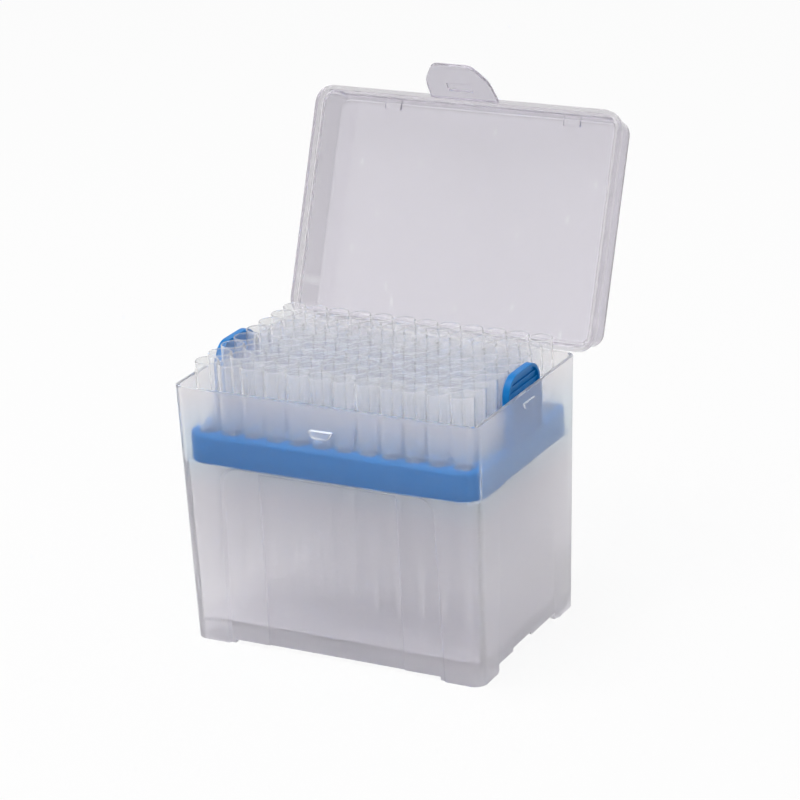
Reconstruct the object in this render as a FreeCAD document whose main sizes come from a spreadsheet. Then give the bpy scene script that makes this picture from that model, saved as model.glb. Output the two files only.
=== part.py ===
import FreeCAD, Part
import Sketcher
import math
import os
import re

doc = FreeCAD.newDocument("tip_box")
dims = doc.addObject("Spreadsheet::Sheet", "dims")

# Millimetres and degrees.  A size that has to fit another is written below in terms of it.
sizes = [
    ("tip_to_handle", "0.5"), ("handle_to_rim", "0.6"), ("tip_to_rim", "3.8"), ("rim_above_deck", "17.8"),
    ("base_draft", "2"), ("base_corner", "4.5"),
    ("rim_wall", "1.4"), ("low_wall", "2.7"), ("inner_corner", "3"),
    ("ledge_height", "68"), ("floor_height", "8"), ("floor_thickness", "1.5"),
    ("panel_drop", "0.4"), ("panel_depth", "0.9"), ("panel_corner", "6"),
    ("front_panel_half_top", "40.8"), ("front_panel_half_low", "42.2"),
    ("front_inner_half", "26.5"), ("front_inner_depth", "0.5"),
    ("front_inner_drop", "1"), ("front_inner_corner", "1"),
    ("side_panel_half_top", "21.3"), ("side_panel_half_low", "23.1"),
    ("front_notch_half", "40.8"), ("front_notch_height", "1.3"),
    ("side_notch_half", "23.3"), ("side_notch_height", "2.4"),
    ("step_notch_front", "11.8"), ("step_notch_back", "3.4"), ("step_notch_height", "3.6"),
    ("catch_half_top", "4.4"), ("catch_half_low", "3"), ("catch_height", "2.7"),
    ("catch_corner", "1.2"), ("catch_top_corner", "0.3"), ("catch_root", "0.8"),
    ("front_catch_drop", "8.6"), ("front_catch_out", "1.6"),
    ("side_catch_drop", "3.4"), ("side_catch_out", "0.8"),
    ("rack_clearance", "0.3"), ("rack_corner", "8"), ("rack_height", "10.2"),
    ("deck_thickness", "2"), ("skirt_wall", "1.5"),
    ("tip_pitch", "9"), ("tip_columns", "12"), ("tip_rows", "8"),
    ("tip_head_radius", "4.3"), ("tip_foot_radius", "4.05"), ("tip_head_length", "25.6"),
    ("tip_mouth_radius", "3.8"), ("tip_mouth_depth", "6"), ("tip_neck_bore", "3.05"),
    ("tip_body_radius", "3.5"), ("tip_middle_radius", "2.6"), ("tip_middle_drop", "58"),
    ("tip_end_radius", "0.9"), ("tip_end_bore", "0.4"), ("tip_length", "84"), ("tip_wall", "0.5"),
    ("tip_hole_clearance", "0.2"),
    ("handle_thickness", "2.7"), ("handle_width", "25.6"),
    ("handle_shift", "1.5"), ("handle_height", "24.8"), ("handle_corner", "7.5"),
    ("handle_rim", "1.2"), ("handle_recess", "1.1"),
    ("rib_thickness", "0.7"), ("rib_height", "0.6"), ("rib_pitch", "2.4"), ("rib_count", "8"),
    ("flange_gap", "0.9"), ("flange_wall", "1.5"), ("flange_depth", "2.5"), ("flange_step", "3.4"),
    ("lid_corner", "7"), ("lid_height", "16.8"), ("lid_shoulder", "1.6"), ("lid_draft", "0.7"),
    ("lid_wall", "1.4"), ("lid_top", "1.2"), ("lid_edge", "1.6"), ("lid_rest_gap", "0.1"),
    ("lid_open_angle", "111"), ("pad_centre", "36.4"), ("pad_length", "6.5"), ("pad_width", "3.4"),
    ("pad_height", "0.7"), ("knuckle_arm", "3.3"),
    ("hinge_back", "4.5"), ("hinge_below", "1.2"), ("hinge_centre", "32"), ("knuckle_length", "9"),
    ("knuckle_radius", "1.9"), ("pin_radius", "1"), ("pin_clearance", "0.1"), ("clip_slot", "1.7"),
    ("cheek_radius", "1.8"), ("cheek_thickness", "2.5"), ("cheek_gap", "0.3"), ("cheek_drop", "10"),
    ("heel_start", "1.8"), ("heel_end", "4"), ("heel_gap", "0.05"),
    ("heel_width", "2.5"),
    ("tab_half_root", "13.5"), ("tab_half_waist", "12.8"), ("tab_waist", "9.9"),
    ("tab_half_end", "7.7"), ("tab_length", "18.2"), ("tab_thickness", "1.4"),
    ("tab_corner", "3"), ("tab_end_corner", "2"), ("tab_rest_angle", "34"), ("tab_root_gap", "0.25"),
    ("pocket_half", "4.7"), ("pocket_high", "4.6"), ("pocket_low", "8.6"), ("pocket_depth", "0.7"),
    ("cut_past", "2"),   # how far a cut runs on past the face it opens
    ("root", "0.3"),     # how far a raised feature sinks into the wall it stands on
]
for row, (name, value) in enumerate(sizes, 1):
    dims.set("A%d" % row, name)
    dims.set("B%d" % row, value)
    dims.setAlias("B%d" % row, name)
doc.recompute()

# What the pieces take from each other: the base is as large as the tips, the handles and the walls need.
fits = doc.addObject("Spreadsheet::Sheet", "fits")
fitted = [
    ("deck_top", "ledge_height + rack_height"),
    ("base_height", "deck_top + rim_above_deck"),
    ("handle_inner", "tip_pitch*(tip_columns - 1)/2 + tip_head_radius + tip_to_handle"),
    ("handle_face", "handle_inner + handle_thickness"),
    ("handle_top", "deck_top + handle_height"),
    ("base_length", "2*(handle_face + handle_to_rim + rim_wall)"),
    ("base_width", "tip_pitch*(tip_rows - 1) + 2*(tip_head_radius + tip_to_rim + rim_wall)"),
    ("panel_top", "ledge_height - panel_drop"),
    ("front_catch_top", "base_height - front_catch_drop"),
    ("side_catch_top", "base_height - side_catch_drop"),
    ("rim_low", "base_height - flange_depth"),
    ("overhang", "flange_gap + flange_wall"),
    ("hinge_y", "base_width/2 + hinge_back"),
    ("hinge_z", "rim_low - hinge_below"),
    ("lid_top_z", "rim_low + lid_height"),
]
sheets = {name: "dims." + name for name, value in sizes}
sheets.update({name: "fits." + name for name, value in fitted})
aliases = re.compile(r"\b(" + "|".join(sheets) + r")\b")


def bound(expression):
    return aliases.sub(lambda match: sheets[match.group()], expression)


for row, (name, expression) in enumerate(fitted, 1):
    fits.set("A%d" % row, name)
    fits.set("B%d" % row, "=" + bound(expression).replace("fits.", ""))
    fits.setAlias("B%d" % row, name)
doc.recompute()


trial = doc.addObject("Spreadsheet::Sheet", "trial")
known = {}


def number(expression):
    if expression not in known:
        trial.set("A1", "=" + bound(expression))
        trial.recompute()
        value = trial.get("A1")
        known[expression] = float(getattr(value, "Value", value))
    return known[expression]


def part(label):
    body = doc.addObject("PartDesign::Body", label)
    body.Label = label
    return body


def plane(body, role):
    return [f for f in body.Origin.OriginFeatures if f.Role == role][0]


def sketchOn(body, name, role, offset="0", side="0", up="0", tilt=None):
    sketch = body.newObject("Sketcher::SketchObject", name)
    sketch.AttachmentSupport = [(plane(body, role), "")]
    sketch.MapMode = "FlatFace"
    if tilt:
        sketch.AttachmentOffset = FreeCAD.Placement(
            FreeCAD.Vector(0, 0, 0), FreeCAD.Rotation(FreeCAD.Vector(*tilt[0]), 1))
        sketch.setExpression("AttachmentOffset.Rotation.Angle", bound(tilt[1]))
    for axis, expression in (("x", side), ("y", up), ("z", offset)):
        if expression != "0":
            sketch.setExpression("AttachmentOffset.Base." + axis, bound(expression))
    return sketch


def outline(sketch, points, radii=None):
    """Closed outline through points given as expressions, its corners rounded where a radius is given."""
    count = len(points)
    radii = radii or ["0"] * count
    corners = [FreeCAD.Vector(number(x), number(y), 0) for x, y in points]
    if sum(corners[i - 1].x * corners[i].y - corners[i].x * corners[i - 1].y for i in range(count)) < 0:
        points, radii, corners = points[::-1], radii[::-1], corners[::-1]
    rounds = [number(r) for r in radii]
    starts, ends, centres = [], [], []
    for i in range(count):
        here, before, after = corners[i], corners[i - 1], corners[(i + 1) % count]
        a, b = (before - here).normalize(), (after - here).normalize()
        half = a.getAngle(b) / 2
        reach = rounds[i] / math.tan(half)
        ends.append(here + a * reach)
        starts.append(here + b * reach)
        centres.append(here + (a + b).normalize() * (rounds[i] / math.sin(half)) if rounds[i] else None)
    first = sketch.GeometryCount
    for i in range(count):
        sketch.addGeometry(Part.LineSegment(starts[i], ends[(i + 1) % count]), False)
    arcs = {}
    for i in range(count):
        if rounds[i]:
            middle = centres[i] + (corners[i] - centres[i]).normalize() * rounds[i]
            arcs[i] = sketch.addGeometry(Part.Arc(ends[i], middle, starts[i]), False)
    for i in range(count):
        line, previous = first + i, first + (i - 1) % count
        if i in arcs:
            dot = sketch.addGeometry(Part.Point(corners[i]), True)
            sketch.addConstraint(Sketcher.Constraint("PointOnObject", dot, 1, line))
            sketch.addConstraint(Sketcher.Constraint("PointOnObject", dot, 1, previous))
            arc = arcs[i]
            begin = sketch.getPoint(arc, 1).distanceToPoint(ends[i]) < 1e-6
            sketch.addConstraint(Sketcher.Constraint("Tangent", arc, 1 if begin else 2, previous, 2))
            sketch.addConstraint(Sketcher.Constraint("Tangent", arc, 2 if begin else 1, line, 1))
            drive(sketch, ("Radius", arc), radii[i])
            spot = (dot, 1)
        else:
            sketch.addConstraint(Sketcher.Constraint("Coincident", previous, 2, line, 1))
            spot = (line, 1)
        drive(sketch, ("DistanceX", -1, 1) + spot, points[i][0])
        drive(sketch, ("DistanceY", -1, 1) + spot, points[i][1])


def drive(sketch, what, expression):
    index = sketch.addConstraint(Sketcher.Constraint(*what, number(expression)))
    sketch.setExpression("Constraints[%d]" % index, bound(expression))


def circle(sketch, radius, x="0", y="0"):
    middle = FreeCAD.Vector(number(x), number(y), 0)
    ring = sketch.addGeometry(Part.Circle(middle, FreeCAD.Vector(0, 0, 1), number(radius)), False)
    drive(sketch, ("DistanceX", -1, 1, ring, 3), x)
    drive(sketch, ("DistanceY", -1, 1, ring, 3), y)
    drive(sketch, ("Radius", ring), radius)


def block(sketch, half_x, half_y, corner):
    x, y = "(" + half_x + ")", "(" + half_y + ")"
    outline(sketch, [(x, y), ("-" + x, y), ("-" + x, "-" + y), (x, "-" + y)], [corner] * 4)


def extrude(body, kind, name, sketch, length, middle=False, flip=False, through=False):
    feature = body.newObject("PartDesign::" + kind, name)
    feature.Profile = sketch
    if through:
        feature.Type = "ThroughAll"
    else:
        feature.setExpression("Length", bound(length))
    feature.Midplane = middle
    feature.Reversed = flip
    sketch.Visibility = False
    return feature


def loft(body, kind, name, low, high):
    feature = body.newObject("PartDesign::" + kind, name)
    feature.Profile = low
    feature.Sections = [high]
    feature.Ruled = True
    return feature


def mirrored(body, name, features, role):
    feature = body.newObject("PartDesign::Mirrored", name)
    feature.Originals = features
    feature.MirrorPlane = (plane(body, role), [""])
    body.Tip = feature
    return feature


def row(body, role, length, count):
    step = body.newObject("PartDesign::LinearPattern", "step")
    step.Direction = (plane(body, role), [""])
    step.setExpression("Length", bound(length))
    step.setExpression("Occurrences", bound(count))
    return step


def finish(body):
    doc.recompute()
    shape = body.Shape
    print(body.Label, "volume", round(shape.Volume, 1), "solids", len(shape.Solids))
    for feature in body.Group:
        if "Invalid" in feature.State or "Error" in feature.State:
            raise RuntimeError(body.Label + " " + feature.Name + " " + str(feature.State))
    if shape.isNull() or not shape.isValid():
        raise RuntimeError(body.Label + " is not a valid shape")


def halfLength(z, inset):
    return "base_length/2 - base_draft*(1 - (%s)/base_height) - (%s)" % (z, inset)


def halfWidth(z, inset):
    return "base_width/2 - base_draft*(1 - (%s)/base_height) - (%s)" % (z, inset)


# Base box: a drafted shell with a ledge for the rack, a raised floor and recessed wall panels.
base = part("base_box")


def level(name, z, inset, corner):
    sketch = sketchOn(base, name, "XY_Plane", z)
    block(sketch, halfLength(z, inset), halfWidth(z, inset), corner)
    return sketch


low = level("foot_outline", "0", "0", "base_corner")
high = level("rim_outline", "base_height", "0", "base_corner")
loft(base, "AdditiveLoft", "shell", low, high)
doc.recompute()
shell_volume = base.Shape.Volume
low = level("ledge_opening", "ledge_height", "rim_wall", "inner_corner")
high = level("rim_opening", "base_height", "rim_wall", "inner_corner")
loft(base, "SubtractiveLoft", "rack_space", low, high)
low = level("floor_outline", "floor_height", "low_wall", "inner_corner")
high = level("ledge_edge", "ledge_height", "low_wall", "inner_corner")
loft(base, "SubtractiveLoft", "well", low, high)
low = level("under_outline", "0", "low_wall", "inner_corner")
high = level("under_top", "floor_height - floor_thickness", "low_wall", "inner_corner")
loft(base, "SubtractiveLoft", "under_floor", low, high)
doc.recompute()
print("shell", round(shell_volume, 1), "hollowed", round(base.Shape.Volume, 1))

lean = "atan(base_draft/base_height)"


def wallPlane(name, role, half, depth):
    # a plane parallel to the drafted wall, a given depth inside its outer face
    return sketchOn(base, name, role, "(%s) - base_draft - (%s)/cos(%s)" % (half, depth, lean),
                    tilt=((1, 0, 0), lean))


def recess(name, role, half, depth, half_top, half_low, top, corner, mirror_role):
    sketch = wallPlane(name + "_outline", role, half, depth)
    outline(sketch, [(half_top, top), ("-(" + half_top + ")", top), ("-(" + half_low + ")", "-cut_past"),
                     (half_low, "-cut_past")], [corner, corner, "0", "0"])
    before = base.Shape.Volume
    cut = extrude(base, "Pocket", name, sketch, "panel_depth + base_draft + cut_past", flip=True)
    doc.recompute()
    print(name, "removes", round(before - base.Shape.Volume, 1))
    mirrored(base, name + "_pair", [cut], mirror_role)
    doc.recompute()


recess("front_panel", "XZ_Plane", "base_width/2", "panel_depth", "front_panel_half_top",
       "front_panel_half_low", "panel_top", "panel_corner", "XZ_Plane")
recess("front_inner_panel", "XZ_Plane", "base_width/2", "panel_depth + front_inner_depth",
       "front_inner_half", "front_inner_half", "panel_top - front_inner_drop", "front_inner_corner",
       "XZ_Plane")
recess("side_panel", "YZ_Plane", "base_length/2", "panel_depth", "side_panel_half_top",
       "side_panel_half_low", "panel_top", "panel_corner", "YZ_Plane")


def notch(name, role, low_edge, high_edge, height):
    sketch = sketchOn(base, name + "_outline", role)
    outline(sketch, [(low_edge, "-cut_past"), (high_edge, "-cut_past"),
                     (high_edge, height), (low_edge, height)])
    extrude(base, "Pocket", name, sketch, None, middle=True, through=True)
    doc.recompute()


notch("front_notch", "XZ_Plane", "-front_notch_half", "front_notch_half", "front_notch_height")
notch("side_notch", "YZ_Plane", "-side_notch_half", "side_notch_half", "side_notch_height")
notch("step_notch", "YZ_Plane", "-step_notch_front", "step_notch_back", "step_notch_height")


def catchOn(name, role, half, top, out):
    face = "(%s) - base_draft*(1 - (%s - catch_height/2)/base_height)" % (half, top)
    sketch = sketchOn(base, name + "_outline", role, face + " - catch_root")
    outline(sketch, [("-catch_half_top", top), ("catch_half_top", top),
                     ("catch_half_low", top + " - catch_height"),
                     ("-catch_half_low", top + " - catch_height")],
            ["catch_top_corner", "catch_top_corner", "catch_corner", "catch_corner"])
    return extrude(base, "Pad", name, sketch, "catch_root + " + out)


catchOn("front_catch", "XZ_Plane", "base_width/2", "front_catch_top", "front_catch_out")
side = catchOn("side_catch", "YZ_Plane", "base_length/2", "side_catch_top", "side_catch_out")
mirrored(base, "side_catch_pair", [side], "YZ_Plane")

# Hinge on the back wall: two pairs of cheeks, each holding a pin; their heels stop the open lid.
reach = "(hinge_y - base_width/2 - overhang)"
cheek_inner = "(hinge_centre - knuckle_length/2 - cheek_gap - cheek_thickness)"
cheek_step = "(knuckle_length + 2*cheek_gap + cheek_thickness)"


def heelPoint(along, above):
    # a point beside the open lid's back flange: along it from the hinge, and above the hinge
    return ("hinge_y - (%s)*cos(lid_open_angle) + (%s)*sin(lid_open_angle)" % (above, along),
            "hinge_z + (%s)*sin(lid_open_angle) + (%s)*cos(lid_open_angle)" % (above, along))


arm_sketch = sketchOn(base, "cheek_arm_outline", "YZ_Plane", cheek_inner)
outline(arm_sketch, [("base_width/2 - rim_wall/2", "hinge_z"), ("hinge_y", "hinge_z"),
                     heelPoint("heel_start", reach + " - heel_gap"),
                     heelPoint("heel_end", reach + " - heel_gap"),
                     heelPoint("heel_end", reach + " - heel_gap - heel_width"),
                     ("base_width/2 - rim_wall/2", "hinge_z - cheek_drop")])
arm = extrude(base, "Pad", "cheek_arm", arm_sketch, "cheek_thickness")
eye_sketch = sketchOn(base, "cheek_eye_outline", "YZ_Plane", cheek_inner)
circle(eye_sketch, "cheek_radius", "hinge_y", "hinge_z")
eye = extrude(base, "Pad", "cheek_eye", eye_sketch, "cheek_thickness")
cheeks = base.newObject("PartDesign::MultiTransform", "cheeks")
cheeks.Originals = [arm, eye]
second = row(base, "X_Axis", cheek_step, "2")
across = base.newObject("PartDesign::Mirrored", "across")
across.MirrorPlane = (plane(base, "YZ_Plane"), [""])
cheeks.Transformations = [second, across]
base.Tip = cheeks
pin_sketch = sketchOn(base, "pin_outline", "YZ_Plane", cheek_inner + " + cheek_thickness/2")
circle(pin_sketch, "pin_radius", "hinge_y", "hinge_z")
pin = extrude(base, "Pad", "pin", pin_sketch, cheek_step)
mirrored(base, "pin_pair", [pin], "YZ_Plane")
finish(base)

# Rack: a perforated deck on a skirt, with a lifting handle at each end.
rack = part("tip_rack")
rack_half_length = "(%s - rack_clearance)" % halfLength("ledge_height", "rim_wall")
rack_half_width = "(%s - rack_clearance)" % halfWidth("ledge_height", "rim_wall")
skirt_sketch = sketchOn(rack, "skirt_outline", "XY_Plane", "ledge_height")
block(skirt_sketch, rack_half_length, rack_half_width, "rack_corner")
extrude(rack, "Pad", "skirt", skirt_sketch, "rack_height")
under_sketch = sketchOn(rack, "under_outline", "XY_Plane", "ledge_height")
block(under_sketch, rack_half_length + " - skirt_wall", rack_half_width + " - skirt_wall",
      "rack_corner - skirt_wall")
extrude(rack, "Pocket", "underside", under_sketch, "rack_height - deck_thickness", flip=True)
hole_sketch = sketchOn(rack, "hole_outline", "XY_Plane", "deck_top")
circle(hole_sketch, "tip_body_radius + tip_hole_clearance", "-tip_pitch*(tip_columns - 1)/2",
       "-tip_pitch*(tip_rows - 1)/2")
hole = extrude(rack, "Pocket", "hole", hole_sketch, "deck_thickness + cut_past")
doc.recompute()
print("rack before holes", round(rack.Shape.Volume, 1))
holes = rack.newObject("PartDesign::MultiTransform", "holes")
holes.Originals = [hole]
along_x = row(rack, "X_Axis", "tip_pitch*(tip_columns - 1)", "tip_columns")
along_y = row(rack, "Y_Axis", "tip_pitch*(tip_rows - 1)", "tip_rows")
holes.Transformations = [along_x, along_y]
rack.Tip = holes
doc.recompute()
print("rack after holes", round(rack.Shape.Volume, 1))

handle_low, handle_high = "(handle_shift - handle_width/2)", "(handle_shift + handle_width/2)"
plate_sketch = sketchOn(rack, "handle_outline", "YZ_Plane", "handle_inner")
outline(plate_sketch, [(handle_low, "deck_top - root"), (handle_high, "deck_top - root"),
                       (handle_high, "handle_top"), (handle_low, "handle_top")],
        ["0", "0", "handle_corner", "handle_corner"])
plate = extrude(rack, "Pad", "handle", plate_sketch, "handle_thickness")
hollow_sketch = sketchOn(rack, "handle_recess_outline", "YZ_Plane", "handle_face")
outline(hollow_sketch, [(handle_low + " + handle_rim", "deck_top"),
                        (handle_high + " - handle_rim", "deck_top"),
                        (handle_high + " - handle_rim", "handle_top - handle_rim"),
                        (handle_low + " + handle_rim", "handle_top - handle_rim")],
        ["0", "0", "handle_corner - handle_rim", "handle_corner - handle_rim"])
hollow = extrude(rack, "Pocket", "handle_recess", hollow_sketch, "handle_recess")
ribs = []
recess_corner = "(handle_corner - handle_rim)"
for count in range(int(number("rib_count"))):
    below_rim = "rib_pitch*%d" % (count + 1)
    top = "(handle_top - handle_rim - %s)" % below_rim
    # near the top the recess narrows along its rounded corners, and the ribs with it
    narrowing = "(%s - sqrt(pow(%s; 2) - pow(max(%s - %s; 0); 2)))" % (
        recess_corner, recess_corner, recess_corner, below_rim)
    inset = "(handle_rim - root + %s)" % narrowing
    rib_sketch = sketchOn(rack, "rib_outline", "YZ_Plane", "handle_face - handle_recess - root")
    outline(rib_sketch, [(handle_low + " + " + inset, top), (handle_high + " - " + inset, top),
                         (handle_high + " - " + inset, top + " - rib_thickness"),
                         (handle_low + " + " + inset, top + " - rib_thickness")])
    ribs.append(extrude(rack, "Pad", "rib", rib_sketch, "rib_height + root"))
doc.recompute()
handles = rack.newObject("PartDesign::PolarPattern", "handles")
handles.Originals = [plate, hollow] + ribs
handles.Axis = (plane(rack, "Z_Axis"), [""])
handles.Angle = 360
handles.Occurrences = 2
rack.Tip = handles
finish(rack)

# Tips: hollow tapered cones that stand in the deck's holes, one group to a column.
columns = []
for column in range(int(number("tip_columns"))):
    tips = part("tips_column_%02d" % (column + 1))
    if "AllowCompound" in tips.PropertiesList:
        tips.AllowCompound = True
    profile = sketchOn(tips, "tip_profile_%02d" % (column + 1), "XZ_Plane",
                       "tip_pitch*(tip_rows - 1)/2", "tip_pitch*(%d - (tip_columns - 1)/2)" % column)
    top = "(deck_top + tip_head_length)"
    outline(profile, [
        ("tip_mouth_radius", top), ("tip_head_radius", top), ("tip_foot_radius", "deck_top"),
        ("tip_body_radius", "deck_top"), ("tip_middle_radius", top + " - tip_middle_drop"),
        ("tip_end_radius", top + " - tip_length"), ("tip_end_bore", top + " - tip_length"),
        ("tip_middle_radius - tip_wall", top + " - tip_middle_drop"), ("tip_neck_bore", "deck_top"),
        ("tip_mouth_radius", top + " - tip_mouth_depth")])
    turned = tips.newObject("PartDesign::Revolution", "tip_%02d" % (column + 1))
    turned.Profile = profile
    turned.ReferenceAxis = (profile, ["V_Axis"])
    turned.Angle = 360
    pattern = tips.newObject("PartDesign::LinearPattern", "row_of_tips_%02d" % (column + 1))
    pattern.Originals = [turned]
    pattern.Direction = (plane(tips, "Y_Axis"), [""])
    pattern.setExpression("Length", bound("tip_pitch*(tip_rows - 1)"))
    pattern.setExpression("Occurrences", bound("tip_rows"))
    tips.Tip = pattern
    finish(tips)
    columns.append(tips)

# Lid: modelled closed over the rim, then turned back about its hinge.
lid = part("lid")
seat_z = "(base_height + lid_rest_gap)"


def lidLevel(name, z, inset, corner):
    sketch = sketchOn(lid, name, "XY_Plane", z)
    block(sketch, "base_length/2 + overhang - (%s)" % inset,
          "base_width/2 + overhang - (%s)" % inset, corner)
    return sketch


extrude(lid, "Pad", "flange", lidLevel("flange_outline", "rim_low", "0", "lid_corner"), "flange_step")
low = lidLevel("shoulder_outline", "rim_low + flange_step - root", "lid_shoulder",
               "lid_corner - lid_shoulder")
high = lidLevel("top_outline", "lid_top_z", "lid_shoulder + lid_draft",
                "lid_corner - lid_shoulder - lid_draft")
loft(lid, "AdditiveLoft", "skirt_and_top", low, high)
doc.recompute()
top_height = number("lid_top_z")
edges = ["Edge%d" % (i + 1) for i, edge in enumerate(lid.Shape.Edges)
         if abs(edge.BoundBox.ZMin - top_height) < 1e-4 and abs(edge.BoundBox.ZMax - top_height) < 1e-4]
solid = lid.Tip
rounding = lid.newObject("PartDesign::Fillet", "top_edge")
rounding.Base = (solid, edges)
rounding.setExpression("Radius", bound("lid_edge"))
doc.recompute()
print("lid solid", round(lid.Shape.Volume, 1), "edges rounded", len(edges))
rim_space = sketchOn(lid, "rim_space_outline", "XY_Plane", "rim_low")
block(rim_space, "base_length/2 + flange_gap", "base_width/2 + flange_gap", "base_corner + flange_gap")
extrude(lid, "Pocket", "rim_space", rim_space, "flange_depth + lid_rest_gap", flip=True)
low = lidLevel("seat_outline", seat_z, "lid_shoulder + lid_wall", "lid_corner - lid_shoulder - lid_wall")
high = lidLevel("ceiling_outline", "lid_top_z - lid_top", "lid_shoulder + lid_wall + lid_draft",
                "lid_corner - lid_shoulder - lid_wall - lid_draft")
loft(lid, "SubtractiveLoft", "cavity", low, high)
doc.recompute()
print("lid hollowed", round(lid.Shape.Volume, 1))

wall_inside = "(base_width/2 + overhang - lid_shoulder - lid_wall - lid_draft)"
pad_sketch = sketchOn(lid, "pad_outline", "XY_Plane", "lid_top_z - lid_top - pad_height")
outline(pad_sketch, [("pad_centre - pad_length/2", "-%s - root" % wall_inside),
                     ("pad_centre + pad_length/2", "-%s - root" % wall_inside),
                     ("pad_centre + pad_length/2", "pad_width - %s" % wall_inside),
                     ("pad_centre - pad_length/2", "pad_width - %s" % wall_inside)])
pad = extrude(lid, "Pad", "pad", pad_sketch, "pad_height + root")
mirrored(lid, "pad_pair", [pad], "YZ_Plane")

knuckle_start = "hinge_centre - knuckle_length/2"
lug_sketch = sketchOn(lid, "knuckle_arm_outline", "YZ_Plane", knuckle_start)
outline(lug_sketch, [("hinge_y - knuckle_arm", "hinge_z"), ("hinge_y", "hinge_z"),
                     ("hinge_y", "hinge_z + knuckle_radius"),
                     ("hinge_y - knuckle_arm", "hinge_z + knuckle_radius")])
lug = extrude(lid, "Pad", "knuckle_arm", lug_sketch, "knuckle_length")
barrel_sketch = sketchOn(lid, "knuckle_outline", "YZ_Plane", knuckle_start)
circle(barrel_sketch, "knuckle_radius", "hinge_y", "hinge_z")
barrel = extrude(lid, "Pad", "knuckle", barrel_sketch, "knuckle_length")
bore_sketch = sketchOn(lid, "knuckle_bore_outline", "YZ_Plane", knuckle_start)
circle(bore_sketch, "pin_radius + pin_clearance", "hinge_y", "hinge_z")
bore = extrude(lid, "Pocket", "knuckle_bore", bore_sketch, "knuckle_length", flip=True)
slot_sketch = sketchOn(lid, "clip_slot_outline", "YZ_Plane", knuckle_start)
outline(slot_sketch, [("hinge_y - clip_slot/2", "hinge_z"), ("hinge_y + clip_slot/2", "hinge_z"),
                      ("hinge_y + clip_slot/2", "hinge_z - knuckle_radius - cut_past"),
                      ("hinge_y - clip_slot/2", "hinge_z - knuckle_radius - cut_past")])
slot = extrude(lid, "Pocket", "clip_slot", slot_sketch, "knuckle_length", flip=True)
mirrored(lid, "knuckle_pair", [lug, barrel, bore, slot], "YZ_Plane")
lid.Placement = FreeCAD.Placement(FreeCAD.Vector(0, 0, 0), FreeCAD.Rotation(FreeCAD.Vector(-1, 0, 0), 90))
lid.setExpression("Placement.Rotation.Angle", bound("lid_open_angle"))
lid.setExpression("Placement.Base.y",
                  bound("hinge_y*(1 - cos(lid_open_angle)) - hinge_z*sin(lid_open_angle)"))
lid.setExpression("Placement.Base.z",
                  bound("hinge_z*(1 - cos(lid_open_angle)) + hinge_y*sin(lid_open_angle)"))
finish(lid)

# Latch tab: hangs from the lid's front flange, modelled folded down about its own root.
tab = part("latch_tab")
root_sketch = sketchOn(tab, "tab_root_outline", "YZ_Plane")
circle(root_sketch, "tab_thickness/2")
extrude(tab, "Pad", "tab_root", root_sketch, "2*tab_half_root", middle=True)
tab_sketch = sketchOn(tab, "tab_outline", "XZ_Plane")
outline(tab_sketch, [("tab_half_root", "0"), ("-tab_half_root", "0"), ("-tab_half_waist", "-tab_waist"),
                     ("-tab_half_end", "-tab_length"), ("tab_half_end", "-tab_length"),
                     ("tab_half_waist", "-tab_waist")],
        ["0", "0", "tab_corner", "tab_end_corner", "tab_end_corner", "tab_corner"])
extrude(tab, "Pad", "tab_plate", tab_sketch, "tab_thickness", middle=True)
catch_pocket = sketchOn(tab, "catch_pocket_outline", "XZ_Plane", "pocket_depth - tab_thickness/2")
outline(catch_pocket, [("pocket_half", "-pocket_high"), ("-pocket_half", "-pocket_high"),
                       ("-pocket_half", "-pocket_low"), ("pocket_half", "-pocket_low")])
extrude(tab, "Pocket", "catch_pocket", catch_pocket, "pocket_depth + cut_past")
root_y = "(tab_thickness/2 - base_width/2 - overhang - hinge_y)"
root_z = "(rim_low - tab_root_gap - tab_thickness/2 - hinge_z)"
tab.Placement = FreeCAD.Placement(FreeCAD.Vector(0, 0, 0), FreeCAD.Rotation(FreeCAD.Vector(-1, 0, 0), 90))
tab.setExpression("Placement.Rotation.Angle", bound("lid_open_angle + tab_rest_angle"))
tab.setExpression("Placement.Base.y",
                  bound("hinge_y + %s*cos(lid_open_angle) + %s*sin(lid_open_angle)" % (root_y, root_z)))
tab.setExpression("Placement.Base.z",
                  bound("hinge_z - %s*sin(lid_open_angle) + %s*cos(lid_open_angle)" % (root_y, root_z)))
finish(tab)

print("lid hinge", round(number("hinge_y"), 4), round(number("hinge_z"), 4))
print("tab hinge", [round(v, 4) for v in tab.Placement.Base])
os.makedirs("parts", exist_ok=True)
for body in [base, rack] + columns + [lid, tab]:
    body.Shape.exportStep("parts/" + body.Label + ".step")
    print("saved", body.Label)
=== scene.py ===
import math

import bmesh
import bpy
from mathutils import Matrix, Vector


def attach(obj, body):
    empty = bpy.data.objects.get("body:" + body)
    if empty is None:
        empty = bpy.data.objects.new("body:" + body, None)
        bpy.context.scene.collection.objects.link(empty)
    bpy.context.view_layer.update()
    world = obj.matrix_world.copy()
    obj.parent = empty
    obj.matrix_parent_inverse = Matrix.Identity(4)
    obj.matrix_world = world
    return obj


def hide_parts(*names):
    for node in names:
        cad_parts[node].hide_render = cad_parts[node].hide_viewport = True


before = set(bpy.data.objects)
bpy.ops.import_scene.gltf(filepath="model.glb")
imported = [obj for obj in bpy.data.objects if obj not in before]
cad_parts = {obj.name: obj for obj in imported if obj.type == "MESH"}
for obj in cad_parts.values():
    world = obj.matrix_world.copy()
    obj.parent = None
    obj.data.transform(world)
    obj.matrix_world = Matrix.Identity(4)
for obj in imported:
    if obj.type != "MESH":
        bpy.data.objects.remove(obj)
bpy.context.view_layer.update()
scene = bpy.context.scene

# Pieces are modelled in millimetres round the origin and brought to metres when they are finished.
millimetre = 0.001

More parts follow.
